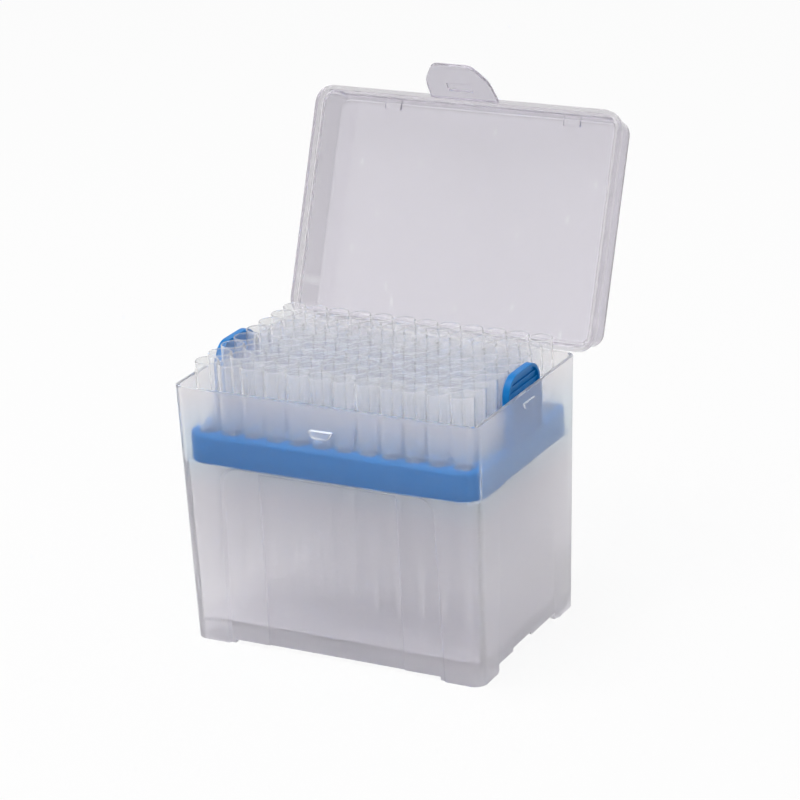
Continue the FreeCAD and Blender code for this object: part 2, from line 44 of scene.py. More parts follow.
# What all the pieces share: how near a place counts as there, how straight an edge runs along an
# axis when its wall is drafted, and the share of a piece's volume that a mesh step has to leave.
shaping = {"near": 0.1, "exact": 0.01, "straight": 0.97, "level": 0.9, "weld": 0.001,
           "tries": 5, "leaves": {"UNION": 0.999, "DIFFERENCE": 0.5},
           "edgeSegments": 2, "edgeAngle": 32}
near = shaping["near"]


def deselectAll():
    bpy.ops.object.select_all(action="DESELECT")


def useOnly(piece):
    deselectAll()
    piece.select_set(True)
    bpy.context.view_layer.objects.active = piece


def applyPlace():
    bpy.ops.object.transform_apply(location=True, rotation=True, scale=True)


def editPiece(piece):
    useOnly(piece)
    bpy.ops.object.mode_set(mode="EDIT")


def leaveEdit():
    bpy.ops.object.mode_set(mode="OBJECT")


def choose(kind, test):  # selects the faces, edges or corners that pass the test
    bpy.ops.mesh.select_mode(type=kind)
    bpy.ops.mesh.select_all(action="DESELECT")
    data = bpy.context.object.data
    mesh = bmesh.from_edit_mesh(data)
    items = {"FACE": mesh.faces, "EDGE": mesh.edges, "VERT": mesh.verts}[kind]
    count = 0
    for item in items:
        if test(item):
            item.select_set(True)
            count += 1
    mesh.select_flush_mode()
    bmesh.update_edit_mesh(data)
    return count


def facesUp(face):
    return face.normal.z > shaping["level"]


def facesDown(face):
    return face.normal.z < -shaping["level"]


def middle(edge):
    return (edge.verts[0].co + edge.verts[1].co) / 2


def along(edge, axis):
    run = edge.verts[1].co - edge.verts[0].co
    return abs(run["XYZ".index(axis)]) > shaping["straight"] * run.length


def roundEdges(test, radius, segments):
    if choose("EDGE", test):
        bpy.ops.mesh.bevel(offset=radius, offset_type="OFFSET", segments=segments, affect="EDGES")


def squeeze(ratios, height):  # narrows what is chosen towards the middle, at its height
    bpy.ops.transform.resize(value=[*ratios, 1], center_override=(0, 0, height))


def sinkPocket(wall, start, end, ratios=None):
    # leaves a wall round the chosen face and pushes the face in, narrowed as the draft asks
    bpy.ops.mesh.inset(thickness=wall, use_even_offset=True)
    bpy.ops.mesh.extrude_region_move(TRANSFORM_OT_translate={"value": (0, 0, end - start)})
    if ratios:
        squeeze(ratios, end)


def addBlock(name, low, high):
    deselectAll()
    centre = [(a + b) / 2 for a, b in zip(low, high)]
    size = [b - a for a, b in zip(low, high)]
    bpy.ops.mesh.primitive_cube_add(size=1, location=centre, scale=size)
    piece = bpy.context.object
    piece.name = name
    applyPlace()
    return piece


def addRod(name, radius, start, length, axis, sides=32):
    deselectAll()
    turns = {"X": (0, math.pi / 2, 0), "Z": (0, 0, 0)}
    centre = Vector(start)
    centre["XYZ".index(axis)] += length / 2
    bpy.ops.mesh.primitive_cylinder_add(vertices=sides, radius=radius, depth=length,
                                        location=centre, rotation=turns[axis])
    piece = bpy.context.object
    piece.name = name
    applyPlace()
    return piece


def addPlate(name, points, thickness, axis, start):
    # an outline drawn corner by corner on a plane, then pulled out to its thickness
    deselectAll()
    bpy.ops.mesh.primitive_circle_add(vertices=len(points), radius=1, fill_type="NGON")
    piece = bpy.context.object
    piece.name = name
    places = {"X": lambda a, b: Vector((start, a, b)), "Y": lambda a, b: Vector((a, start, b))}
    editPiece(piece)
    for count, point in enumerate(points):
        choose("VERT", lambda corner: corner.index == count)
        mesh = bmesh.from_edit_mesh(piece.data)
        mesh.verts.ensure_lookup_table()
        bpy.ops.transform.translate(value=places[axis](*point) - mesh.verts[count].co)
    bpy.ops.mesh.select_all(action="SELECT")
    push = Vector((0, 0, 0))
    push["XYZ".index(axis)] = thickness
    bpy.ops.mesh.extrude_region_move(TRANSFORM_OT_translate={"value": push})
    bpy.ops.mesh.select_all(action="SELECT")
    bpy.ops.mesh.normals_make_consistent(inside=False)
    leaveEdit()
    return piece


def turnedShape(name, sides, profile):
    # a ring carried down the outside and up the inside, then closed on itself
    deselectAll()
    startRadius, startHeight = profile[0]
    bpy.ops.mesh.primitive_circle_add(vertices=sides, radius=startRadius,
                                      location=(0, 0, startHeight))
    piece = bpy.context.object
    piece.name = name
    applyPlace()
    editPiece(piece)
    bpy.ops.mesh.select_all(action="SELECT")
    for (wide, high), (nextWide, nextHigh) in zip(profile, profile[1:] + profile[:1]):
        rise = (0, 0, nextHigh - high)
        bpy.ops.mesh.extrude_region_move(TRANSFORM_OT_translate={"value": rise})
        squeeze((nextWide / wide, nextWide / wide), nextHigh)
    bpy.ops.mesh.select_all(action="SELECT")
    bpy.ops.mesh.remove_doubles(threshold=shaping["weld"])
    bpy.ops.mesh.normals_make_consistent(inside=False)
    leaveEdit()
    return piece


def volumeOf(piece):
    mesh = bmesh.new()
    mesh.from_mesh(piece.data)
    volume = mesh.calc_volume(signed=True)
    mesh.free()
    return volume


def combine(piece, tools, operation):
    for tool in tools:
        before = piece.data.copy()
        least = volumeOf(piece) * shaping["leaves"][operation]
        for _ in range(shaping["tries"]):
            useOnly(piece)
            step = piece.modifiers.new("step", "BOOLEAN")
            step.operation = operation
            step.solver = "EXACT"
            step.object = tool
            bpy.ops.object.modifier_apply(modifier="step")
            if volumeOf(piece) > least:
                break
            piece.data = before.copy()  # the step lost a part of the piece, so it is done again
        bpy.data.meshes.remove(before)
        bpy.data.objects.remove(tool)


def joinPieces(pieces):
    deselectAll()
    for piece in pieces:
        piece.select_set(True)
    bpy.context.view_layer.objects.active = pieces[0]
    bpy.ops.object.join()
    return pieces[0]


def copyPiece(piece, matrix):
    twin = piece.copy()
    twin.data = piece.data.copy()
    scene.collection.objects.link(twin)
    twin.matrix_world = matrix @ piece.matrix_world
    useOnly(twin)
    applyPlace()
    return twin


def turnPiece(piece, degrees):  # about the upright through the origin
    turned = copyPiece(piece, Matrix.Rotation(math.radians(degrees), 4, "Z"))
    bpy.data.objects.remove(piece)
    return turned


def soften(piece, width):
    useOnly(piece)
    edge = piece.modifiers.new("edge", "BEVEL")
    edge.width = width
    edge.segments = shaping["edgeSegments"]
    edge.limit_method = "ANGLE"
    edge.angle_limit = math.radians(shaping["edgeAngle"])
    edge.use_clamp_overlap = True
    bpy.ops.object.modifier_apply(modifier="edge")


def paintFaces(piece, material, test):
    piece.active_material_index = list(piece.data.materials).index(material)
    if choose("FACE", test):
        bpy.ops.object.material_slot_assign()


def finishPiece(piece, name, body, node, smoothAngle=40):
    useOnly(piece)
    piece.name = piece.data.name = name
    piece.scale = [millimetre] * 3
    applyPlace()
    bpy.ops.object.shade_smooth_by_angle(angle=math.radians(smoothAngle))
    even = piece.modifiers.new("even", "WEIGHTED_NORMAL")  # keeps broad faces flat at soft edges
    even.keep_sharp = True
    even.weight = 100
    bpy.ops.object.modifier_apply(modifier="even")
    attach(piece, body)
    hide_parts(node)


# Materials. A Mix node's colours go in at sockets 6 and 7 and come out at 2.
colourA, colourB, mixedColour = 6, 7, 2


def toLinear(colour):
    levels = [int(colour[i:i + 2], 16) / 255 for i in (1, 3, 5)]
    return [v / 12.92 if v <= 0.04045 else ((v + 0.055) / 1.055) ** 2.4 for v in levels] + [1]


def addNode(tree, kind, settings=None, links=None):
    node = tree.nodes.new("ShaderNode" + kind)
    for name, value in (settings or {}).items():
        if isinstance(name, int) or name in node.inputs:
            node.inputs[name].default_value = value
        else:
            setattr(node, name, value)
    for name, source in (links or {}).items():
        tree.links.new(source, node.inputs[name])
    return node


def newMaterial(name):
    material = bpy.data.materials.new(name)
    material.use_nodes = True
    material.node_tree.nodes.clear()
    return material, material.node_tree


# Translucent homopolymer polypropylene. What is near the wall shows through it, and what is
# further away blurs and pales. Its colour follows the height in metres and is painted light and
# shade: painted shade, greyer where the lower wall meets the floor and the ledge; painted blue
# light, faintly blue beside the rack; and a painted glow, whitest at the rim.
frosted = {"paintedLightByHeight": {0.0: "#EBEAEE", 0.008: "#F8F7F9", 0.03: "#F7F6F8", 0.058: "#EFEEF1",
                       0.067: "#EAEFF3", 0.074: "#F3F9FC", 0.082: "#F6F9FC", 0.094: "#FFFDFD"},
           "rampScale": 10, "flowTint": "#F8F7F8", "slopeShadeTint": "#D4D3D8", "ior": 1.25,
           "clear": 0.96, "sideClear": 0.88, "slopeClear": 0.93, "floorClear": 0.6,
           "paintedLightEdgeClear": 0.35, "outside": (0.282, 0.3), "coreSide": (0.08, 0.12),
           "flowMarks": 0.045, "grain": 0.0005, "bump": 0.6, "grainDepth": 0.00005}


def frostedPolypropylene(name, tint, finish, clear):
    material, tree = newMaterial(name)
    place = addNode(tree, "TexCoord").outputs["Object"]
    flow = addNode(tree, "TexNoise", {"Scale": 1 / frosted["flowMarks"], "Detail": 3.0},
                   {"Vector": place})
    grain = addNode(tree, "TexNoise", {"Scale": 1 / frosted["grain"], "Detail": 1.0},
                    {"Vector": place})
    height = addNode(tree, "SeparateXYZ", None, {0: place})
    height = addNode(tree, "Math", {"operation": "MULTIPLY", 1: frosted["rampScale"]},
                     {0: height.outputs["Z"]})
    # a colour ramp of painted light and shade by height: shade low down and at the ledge, blue
    # light by the rack, a glow at the rim
    thickness = addNode(tree, "ValToRGB", None, {0: height.outputs[0]})
    steps = thickness.color_ramp.elements
    for count, (level, colour) in enumerate(frosted["paintedLightByHeight"].items()):
        spot = level * frosted["rampScale"]
        step = steps[count] if count < 2 else steps.new(spot)  # a new ramp has two steps
        step.position, step.color = spot, toLinear(colour)
    colour = addNode(tree, "Mix", {"data_type": "RGBA", "blend_type": "MULTIPLY",
                                   colourB: toLinear(frosted[tint])},
                     {0: flow.outputs[0], colourA: thickness.outputs[0]})
    smoothest, roughest = frosted[finish]
    rough = addNode(tree, "MapRange", {"To Min": smoothest, "To Max": roughest},
                    {"Value": flow.outputs[0]})
    bump = addNode(tree, "Bump", {"Strength": frosted["bump"], "Distance": frosted["grainDepth"]},
                   {"Height": grain.outputs[0]})
    shader = addNode(tree, "BsdfPrincipled",
                     {"IOR": frosted["ior"], "Transmission Weight": frosted[clear]},
                     {"Base Color": colour.outputs[mixedColour], "Roughness": rough.outputs[0],
                      "Normal": bump.outputs[0]})
    addNode(tree, "OutputMaterial", None, {"Surface": shader.outputs[0]})
    return material


# The same polypropylene in the lid's thinner wall, from a polished tool: clearer, with glassy
# edges, and with the fine short scuffs that handling leaves.
clearLid = {"colours": ("#EBE8EF", "#E8E5EC"), "shadedWallColours": ("#DDDADF", "#D9D7DC"),
            "rimColours": ("#ECEAED", "#E8E6EA"), "shadedEdgeColours": ("#B4B1BC", "#AEABB6"),
            "ior": 1.36, "clear": 0.86, "paintedLightEdgeClear": 0.5, "smoothest": 0.08, "roughest": 0.12,
            "flowMarks": 0.05, "ripple": 0.006, "bump": 0.1, "rippleDepth": 0.00003,
            "scuffSpacing": 0.014, "scuffWidth": 0.05, "scuffHeight": 20.0,
            "scuffStretch": (1.0, 0.3, 0.3), "scuffTilt": (-1.2, 0, 0), "scuffColour": "#FCFBFD"}


def lidPolypropylene(name, colours, clear):
    material, tree = newMaterial(name)
    place = addNode(tree, "TexCoord").outputs["Object"]
    flow = addNode(tree, "TexNoise", {"Scale": 1 / clearLid["flowMarks"], "Detail": 3.0},
                   {"Vector": place})
    ripple = addNode(tree, "TexNoise", {"Scale": 1 / clearLid["ripple"], "Detail": 1.0},
                     {"Vector": place})
    flat = addNode(tree, "Mapping", {"Scale": clearLid["scuffStretch"],
                                     "Rotation": clearLid["scuffTilt"]}, {"Vector": place})
    scuffs = addNode(tree, "TexVoronoi", {"voronoi_dimensions": "2D",
                                          "Scale": 1 / clearLid["scuffSpacing"]},
                     {"Vector": flat.outputs[0]})
    scuffs = addNode(tree, "MapRange", {"From Min": clearLid["scuffWidth"], "From Max": 0.0},
                     {"Value": scuffs.outputs["Distance"]})
    height = addNode(tree, "Math", {"operation": "MULTIPLY_ADD", 1: clearLid["scuffHeight"]},
                     {0: scuffs.outputs[0], 2: ripple.outputs[0]})
    paler, deeper = clearLid[colours]
    colour = addNode(tree, "Mix", {"data_type": "RGBA", colourA: toLinear(paler),
                                   colourB: toLinear(deeper)}, {0: flow.outputs[0]})
    colour = addNode(tree, "Mix", {"data_type": "RGBA",
                                   colourB: toLinear(clearLid["scuffColour"])},
                     {0: scuffs.outputs[0], colourA: colour.outputs[mixedColour]})
    rough = addNode(tree, "MapRange", {"To Min": clearLid["smoothest"],
                                       "To Max": clearLid["roughest"]}, {"Value": flow.outputs[0]})
    bump = addNode(tree, "Bump", {"Strength": clearLid["bump"],
                                  "Distance": clearLid["rippleDepth"]},
                   {"Height": height.outputs[0]})
    shader = addNode(tree, "BsdfPrincipled",
                     {"IOR": clearLid["ior"], "Transmission Weight": clearLid[clear]},
                     {"Base Color": colour.outputs[mixedColour], "Roughness": rough.outputs[0],
                      "Normal": bump.outputs[0]})
    addNode(tree, "OutputMaterial", None, {"Surface": shader.outputs[0]})
    return material


# Natural polypropylene tips from a polished tool: a clear thin wall with fine outlines where it
# is seen edge on, a faint milky haze that adds up over the rows of tips, and slight drawing marks.
tipFinish = {"colour": "#FFFFFF", "deepColour": "#FBFBFC", "ior": 1.25, "clear": 0.91,
             "highlightLipClear": 0.75, "roughness": 0.0, "clouds": 0.006, "drawMarks": 0.0012,
             "bump": 0.12, "markDepth": 0.00004}


def clearPolypropylene(name, clear):
    material, tree = newMaterial(name)
    place = addNode(tree, "TexCoord").outputs["Object"]
    clouds = addNode(tree, "TexNoise", {"Scale": 1 / tipFinish["clouds"], "Detail": 2.0},
                     {"Vector": place})
    marks = addNode(tree, "TexNoise", {"Scale": 1 / tipFinish["drawMarks"], "Detail": 1.0},
                    {"Vector": place})
    colour = addNode(tree, "Mix", {"data_type": "RGBA", colourA: toLinear(tipFinish["colour"]),
                                   colourB: toLinear(tipFinish["deepColour"])},
                     {0: clouds.outputs[0]})
    bump = addNode(tree, "Bump", {"Strength": tipFinish["bump"],
                                  "Distance": tipFinish["markDepth"]}, {"Height": marks.outputs[0]})
    shader = addNode(tree, "BsdfPrincipled",
                     {"IOR": tipFinish["ior"], "Roughness": tipFinish["roughness"],
                      "Transmission Weight": tipFinish[clear]},
                     {"Base Color": colour.outputs[mixedColour], "Normal": bump.outputs[0]})
    addNode(tree, "OutputMaterial", None, {"Surface": shader.outputs[0]})
    return material


# Blue masterbatch polypropylene: a satin moulding with a soft, slightly waxy depth.
bluePart = {"colour": "#0072B8", "deepColour": "#006AAE", "ior": 1.4, "shine": 0.25,
            "smoothest": 0.3, "roughest": 0.42, "flowMarks": 0.02, "grain": 0.0005,
            "bump": 0.2, "grainDepth": 0.00003}


def bluePolypropylene(name):
    material, tree = newMaterial(name)
    place = addNode(tree, "TexCoord").outputs["Object"]
    flow = addNode(tree, "TexNoise", {"Scale": 1 / bluePart["flowMarks"], "Detail": 3.0},
                   {"Vector": place})
    grain = addNode(tree, "TexNoise", {"Scale": 1 / bluePart["grain"], "Detail": 1.0},
                    {"Vector": place})
    colour = addNode(tree, "Mix", {"data_type": "RGBA", colourA: toLinear(bluePart["colour"]),
                                   colourB: toLinear(bluePart["deepColour"])},
                     {0: flow.outputs[0]})
    rough = addNode(tree, "MapRange", {"To Min": bluePart["smoothest"],
                                       "To Max": bluePart["roughest"]}, {"Value": flow.outputs[0]})
    bump = addNode(tree, "Bump", {"Strength": bluePart["bump"],
                                  "Distance": bluePart["grainDepth"]}, {"Height": grain.outputs[0]})
    shader = addNode(tree, "BsdfPrincipled",
                     {"IOR": bluePart["ior"], "Specular IOR Level": bluePart["shine"]},
                     {"Base Color": colour.outputs[mixedColour], "Roughness": rough.outputs[0],
                      "Normal": bump.outputs[0]})
    addNode(tree, "OutputMaterial", None, {"Surface": shader.outputs[0]})
    return material


# the spark-eroded outside, which blurs what is behind it
frostedPp = frostedPolypropylene("frostedPolypropylene", "flowTint", "outside", "clear")
# the cavity, smooth from the polished core
corePp = frostedPolypropylene("polishedCorePolypropylene", "flowTint", "coreSide", "clear")
# the catches and the edge of the ledge, made whiter as a painted highlight
highlightEdgePp = frostedPolypropylene("highlightEdgePolypropylene", "flowTint", "outside", "paintedLightEdgeClear")
# the sloping edges of the panels, darkened so that they show as thin grey lines: painted shade
shadedSlopePp = frostedPolypropylene("shadedSlopePolypropylene", "slopeShadeTint", "outside", "slopeClear")
# the floor inside, made milky as painted light, so that the shaded bottom of the box shows pale
# through the walls
paintedLightFloorPp = frostedPolypropylene("paintedLightFloorPolypropylene", "flowTint", "outside", "floorClear")
# the end walls and the faces of the catches, a little milkier and lighter than the front: painted
# light
paintedLightSidePp = frostedPolypropylene("paintedLightSideWallPolypropylene", "flowTint", "outside", "sideClear")
# the lid's top plate and the latch tab, faintly violet
lidPp = lidPolypropylene("lidPolypropylene", "colours", "clear")
# the pads' edges, painted darker so that they stand out as small grey marks: painted shade
shadedPadEdgePp = lidPolypropylene("shadedPadEdgePolypropylene", "shadedEdgeColours", "paintedLightEdgeClear")
# the outside of the lid's walls, painted greyer as shade where the light crosses them at a slant
shadedLidWallPp = lidPolypropylene("shadedLidWallPolypropylene", "shadedWallColours", "clear")
# the lid's flange, the palest part of the lid
lidRimPp = lidPolypropylene("lidRimPolypropylene", "rimColours", "clear")
# the tips' walls
clearPp = clearPolypropylene("clearPolypropylene", "clear")
# the tips' rounded lips, made milkier so that they show as thin white rings: a painted highlight
highlightLipPp = clearPolypropylene("highlightLipPolypropylene", "highlightLipClear")
# the rack
bluePp = bluePolypropylene("bluePolypropylene")
print("materials made")

# Base box: drafted walls, a ledge for the rack, a raised floor, recessed panels, catches and
# hinge cheeks. A panel is its half width at the top and at the foot, its top, corner and depth.
# A catch is its top and how far it stands out, and a pin its start and length.
base = {"footHalf": (57, 39), "rimHalf": (59, 41), "height": 96, "corner": 4.5, "rimWall": 1.4,
        "lowWall": 2.7, "ledge": 68, "floor": 8, "under": 6.5, "edge": 0.3,
        "frontPanel": (40.8, 42.2, 67.6, 6, 0.9), "frontSlope": 1.0,
        "sidePanel": (21.3, 23.1, 67.6, 6, 0.9), "sideSlope": 3.0,
        "innerPanel": (26.5, 26.5, 66.6, 1, 1.4), "cutReach": 80, "cutLow": -1,
        "notches": [((-40.8, -60, -1), (40.8, 60, 1.3)), ((-80, -23.3, -1), (80, 23.3, 2.4)),
                    ((-80, -11.8, -1), (80, 3.4, 3.6))],
        "catchHalf": (4.4, 3.0), "catchHeight": 2.7, "catchCorner": 1.2, "catchTopCorner": 0.3,
        "catchRoot": 0.6, "frontCatch": (87.4, 1.6), "sideCatch": (92.6, 0.8),
        "hinge": (45.5, 92.3), "cheekStarts": (24.7, 36.8), "cheekThickness": 2.5,
        "cheekArm": [(40.3, 92.3), (45.5, 92.3), (47.92, 93.57), (49.97, 92.78), (49.07, 90.45),
                     (40.3, 82.3)],
        "eyeRadius": 1.8, "pinRadius": 1.0, "pin": (25.95, 12.1)}

# How the faces of the base are told apart for painting, in millimetres and in parts of a normal
baseFaces = {"square": 0.95, "coreSlack": 0.4, "coreStep": 0.5, "endWall": 1.2,
             "catchSlack": 0.4, "catchAbove": 0.3, "catchBelow": 0.9, "catchProud": 0.02,
             "catchArea": 4, "ledgeLean": 0.3, "ledgeSlack": 0.4,
             "slopeSunk": (-0.1, 1.6), "slopeLean": (0.3, 0.97), "slopeLow": 1.5,
             "slopeAbove": 3, "slopeMargin": 5}


def wallHalf(side, height):  # outer half size at a height, side 0 across x and side 1 across y
    draft = base["rimHalf"][side] - base["footHalf"][side]
    return base["footHalf"][side] + draft * height / base["height"]


def panelCutter(side, values, slope, turn):
    halfTop, halfLow, top, corner, depth = values
    reach, low = base["cutReach"], base["cutLow"]
    face = wallHalf(side, 0) - depth
    cutter = addBlock("panelCutter", (-halfTop, -reach, low), (halfTop, -face, top))
    editPiece(cutter)
    lean = (base["rimHalf"][side] - base["footHalf"][side]) / base["height"]
    choose("VERT", lambda v: v.co.y > near - reach and v.co.z > 0)
    bpy.ops.transform.translate(value=(0, -lean * top, 0))
    choose("VERT", lambda v: v.co.y > near - reach and v.co.z < 0)
    bpy.ops.transform.translate(value=(0, -lean * low, 0))
    choose("VERT", lambda v: v.co.z < 0)
    squeeze((halfLow / halfTop, 1), low)
    roundEdges(lambda e: along(e, "Y") and middle(e).z > top - near, corner, segments=10)
    spread = slope * (reach - face)  # the far end is wider, so that the panel's edge slopes
    choose("VERT", lambda v: v.co.y < near - reach)
    bpy.ops.transform.resize(value=(1 + spread / halfTop, 1, 1 + spread / top),
                             center_override=(0, -reach, low))
    leaveEdit()
    return turnPiece(cutter, turn)


def wallCatch(side, values, turn):
    top, out = values
    low = top - base["catchHeight"]
    face = wallHalf(side, (top + low) / 2)
    wide, narrow = base["catchHalf"]
    root = base["catchRoot"]
    lug = addPlate("catch", [(-wide, top), (wide, top), (narrow, low), (-narrow, low)],
                   -(out + root), "Y", -face + root)
    editPiece(lug)
    roundEdges(lambda e: along(e, "Y") and middle(e).z < low + near, base["catchCorner"],
               segments=6)
    roundEdges(lambda e: along(e, "Y") and middle(e).z > top - near, base["catchTopCorner"],
               segments=2)
    leaveEdit()
    return turnPiece(lug, turn)


def hingeCheeks():  # for each hinge, two cheeks with round eyes and the pin between them
    hingeY, hingeZ = base["hinge"]
    thick = base["cheekThickness"]
    pinStart, pinLength = base["pin"]
    lugs = []
    for side in (1, -1):
        for start in base["cheekStarts"]:
            begin = start if side > 0 else -start - thick
            lugs.append(addPlate("cheek", base["cheekArm"], thick, "X", begin))
            lugs.append(addRod("eye", base["eyeRadius"], (begin, hingeY, hingeZ), thick, "X"))
        begin = pinStart if side > 0 else -pinStart - pinLength
        lugs.append(addRod("pin", base["pinRadius"], (begin, hingeY, hingeZ), pinLength, "X",
                           sides=20))
    return lugs


def onCore(face):  # whether a face of the base belongs to the cavity
    place = face.calc_center_median()
    upper = place.z > base["ledge"] - baseFaces["coreStep"]
    wall = base["rimWall"] if upper else base["lowWall"]
    return place.z > base["floor"] - near and all(
        abs(place[side]) < wallHalf(side, place.z) - wall + baseFaces["coreSlack"]
        for side in (0, 1))


def onSide(face):  # whether a face is the outside of an end wall
    place = face.calc_center_median()
    return (abs(face.normal.x) > baseFaces["square"]
            and abs(place.x) > wallHalf(0, place.z) - baseFaces["endWall"])


def onCatch(face):  # whether a face belongs to a catch
    place = face.calc_center_median()
    for side, (top, _) in ((1, base["frontCatch"]), (0, base["sideCatch"])):
        high = top + baseFaces["catchAbove"]
        low = high - base["catchHeight"] - baseFaces["catchBelow"]
        proud = -place.y if side else abs(place.x)
        if (low < place.z < high and proud > wallHalf(side, place.z) + baseFaces["catchProud"]
                and abs(place[1 - side]) < base["catchHalf"][0] + baseFaces["catchSlack"]):
            return True
    return False


def onCatchFace(face):  # whether a face is the broad front of a catch
    return (onCatch(face) and face.calc_area() > baseFaces["catchArea"]
            and max(abs(face.normal.x), abs(face.normal.y)) > baseFaces["square"])


def onLedge(face):
    height = face.calc_center_median().z - base["ledge"]
    return face.normal.z > baseFaces["ledgeLean"] and abs(height) < baseFaces["ledgeSlack"]


def onFloor(face):
    return facesUp(face) and abs(face.calc_center_median().z - base["floor"]) < near


def onSlope(face):  # whether a face is the sloping edge of a panel
    place = face.calc_center_median()
    shallow, deep = baseFaces["slopeSunk"]
    least, most = baseFaces["slopeLean"]
    if facesUp(face) or facesDown(face):
        return False
    if not baseFaces["slopeLow"] < place.z < base["ledge"] + baseFaces["slopeAbove"]:
        return False
    for side in (0, 1):
        sunk = wallHalf(side, place.z) - abs(place[side])
        inside = wallHalf(1 - side, place.z) - abs(place[1 - side])
        if (shallow < sunk < deep and least < abs(face.normal[side]) < most
                and inside > baseFaces["slopeMargin"]):
            return True
    return False


def buildBase():
    footX, footY = base["footHalf"]
    rimX, rimY = base["rimHalf"]
    box = addBlock("base", (-footX, -footY, 0), (footX, footY, base["height"]))
    editPiece(box)
    choose("FACE", facesUp)
    squeeze((rimX / footX, rimY / footY), base["height"])
    roundEdges(lambda e: along(e, "Z"), base["corner"], segments=8)
    choose("FACE", facesUp)
    thin, thick = base["rimWall"], base["lowWall"]
    ledgeHalf = [wallHalf(side, base["ledge"]) for side in (0, 1)]
    floorHalf = [wallHalf(side, base["floor"]) for side in (0, 1)]
    sinkPocket(thin, base["height"], base["ledge"],
               [(ledgeHalf[side] - thin) / (base["rimHalf"][side] - thin) for side in (0, 1)])
    sinkPocket(thick - thin, base["ledge"], base["floor"],
               [(floorHalf[side] - thick) / (ledgeHalf[side] - thick) for side in (0, 1)])
    choose("FACE", facesDown)
    sinkPocket(thick, 0, base["under"])
    leaveEdit()
    cutters = []
    for side, panel, slope, turns in ((1, "frontPanel", "frontSlope", (0, 180)),
                                      (0, "sidePanel", "sideSlope", (90, -90)),
                                      (1, "innerPanel", "frontSlope", (0, 180))):
        cutters += [panelCutter(side, base[panel], base[slope], turn) for turn in turns]
    cutters += [addBlock("notch", low, high) for low, high in base["notches"]]
    combine(box, cutters, "DIFFERENCE")
    lugs = [wallCatch(1, base["frontCatch"], 0), wallCatch(0, base["sideCatch"], 90),
            wallCatch(0, base["sideCatch"], -90)]
    combine(box, lugs + hingeCheeks(), "UNION")
    soften(box, base["edge"])
    for material in (frostedPp, corePp, highlightEdgePp, shadedSlopePp, paintedLightFloorPp, paintedLightSidePp):
        box.data.materials.append(material)
    editPiece(box)
    paintFaces(box, corePp, onCore)
    # painted shade on the panels' sloping edges
    paintFaces(box, shadedSlopePp, onSlope)
    # painted light on the end walls
    paintFaces(box, paintedLightSidePp, onSide)
    # painted light on the inner floor
    paintFaces(box, paintedLightFloorPp, onFloor)
    # a painted highlight on the catches and the ledge's edge
    paintFaces(box, highlightEdgePp, lambda face: onCatch(face) or onLedge(face))
    # painted light on the broad faces of the catches
    paintFaces(box, paintedLightSidePp, onCatchFace)
    leaveEdit()
    finishPiece(box, "frosted_base", "base", "base_box")
    return box


baseBox = buildBase()
print("base made", len(baseBox.data.polygons))

# Tip rack: a perforated deck on a skirt with a ribbed lifting handle at each end. "past" is how
# far a root or a cutter goes beyond the face that it meets.
rack = {"half": (56.717, 38.717), "low": 68, "deck": 78.2, "corner": 8, "under": 76.2,
        "skirt": 1.5, "topEdge": 0.9, "hole": 3.7, "punchLength": 5, "pitch": 9, "columns": 12,
        "rows": 8, "handleFaces": (54.3, 57), "handleY": (-11.3, 14.3), "handleTop": 103,
        "handleCorner": 7.5, "handleRim": 1.2, "recess": 1.1, "ribs": 8, "ribPitch": 2.4,
        "ribThickness": 0.7, "ribHeight": 0.6, "ribRoot": 0.2, "ribLap": 0.1, "ribEdge": 0.2,
        "past": 1, "edge": 0.25}


def tipPlaces():
    for column in range(rack["columns"]):
        for row in range(rack["rows"]):
            yield (column, (column - (rack["columns"] - 1) / 2) * rack["pitch"],
                   (row - (rack["rows"] - 1) / 2) * rack["pitch"])


def liftingHandle():
    inner, outer = rack["handleFaces"]
    front, back = rack["handleY"]
    top, rim, past = rack["handleTop"], rack["handleRim"], rack["past"]
    corner = rack["handleCorner"]
    plate = addBlock("handle", (inner, front, rack["deck"] - past), (outer, back, top))
    editPiece(plate)
    roundEdges(lambda e: along(e, "X") and middle(e).z > top - near, corner, segments=10)
    leaveEdit()
    hollow = addBlock("recess", (outer - rack["recess"], front + rim, rack["deck"]),
                      (outer + past, back - rim, top - rim))
    editPiece(hollow)
    roundEdges(lambda e: along(e, "X") and middle(e).z > top - rim - near, corner - rim,
               segments=8)
    leaveEdit()
    combine(plate, [hollow], "DIFFERENCE")
    soften(plate, rack["edge"])
    ribs = []
    for count in range(rack["ribs"]):
        ribTop = top - rim - rack["ribPitch"] * (count + 1)
        drop = max(0, (corner - rim) - (top - rim - ribTop))  # a rib is shorter in the corners
        narrowing = (corner - rim) - math.sqrt((corner - rim) ** 2 - drop ** 2)
        inset = rim - rack["ribLap"] + narrowing
        rib = addBlock("rib", (outer - rack["recess"] - rack["ribRoot"], front + inset,
                               ribTop - rack["ribThickness"]),
                       (outer - rack["recess"] + rack["ribHeight"], back - inset, ribTop))
        editPiece(rib)
        roundEdges(lambda e: along(e, "Y") and middle(e).x > outer - past, rack["ribEdge"],
                   segments=2)
        leaveEdit()
        ribs.append(rib)
    return joinPieces([plate] + ribs)


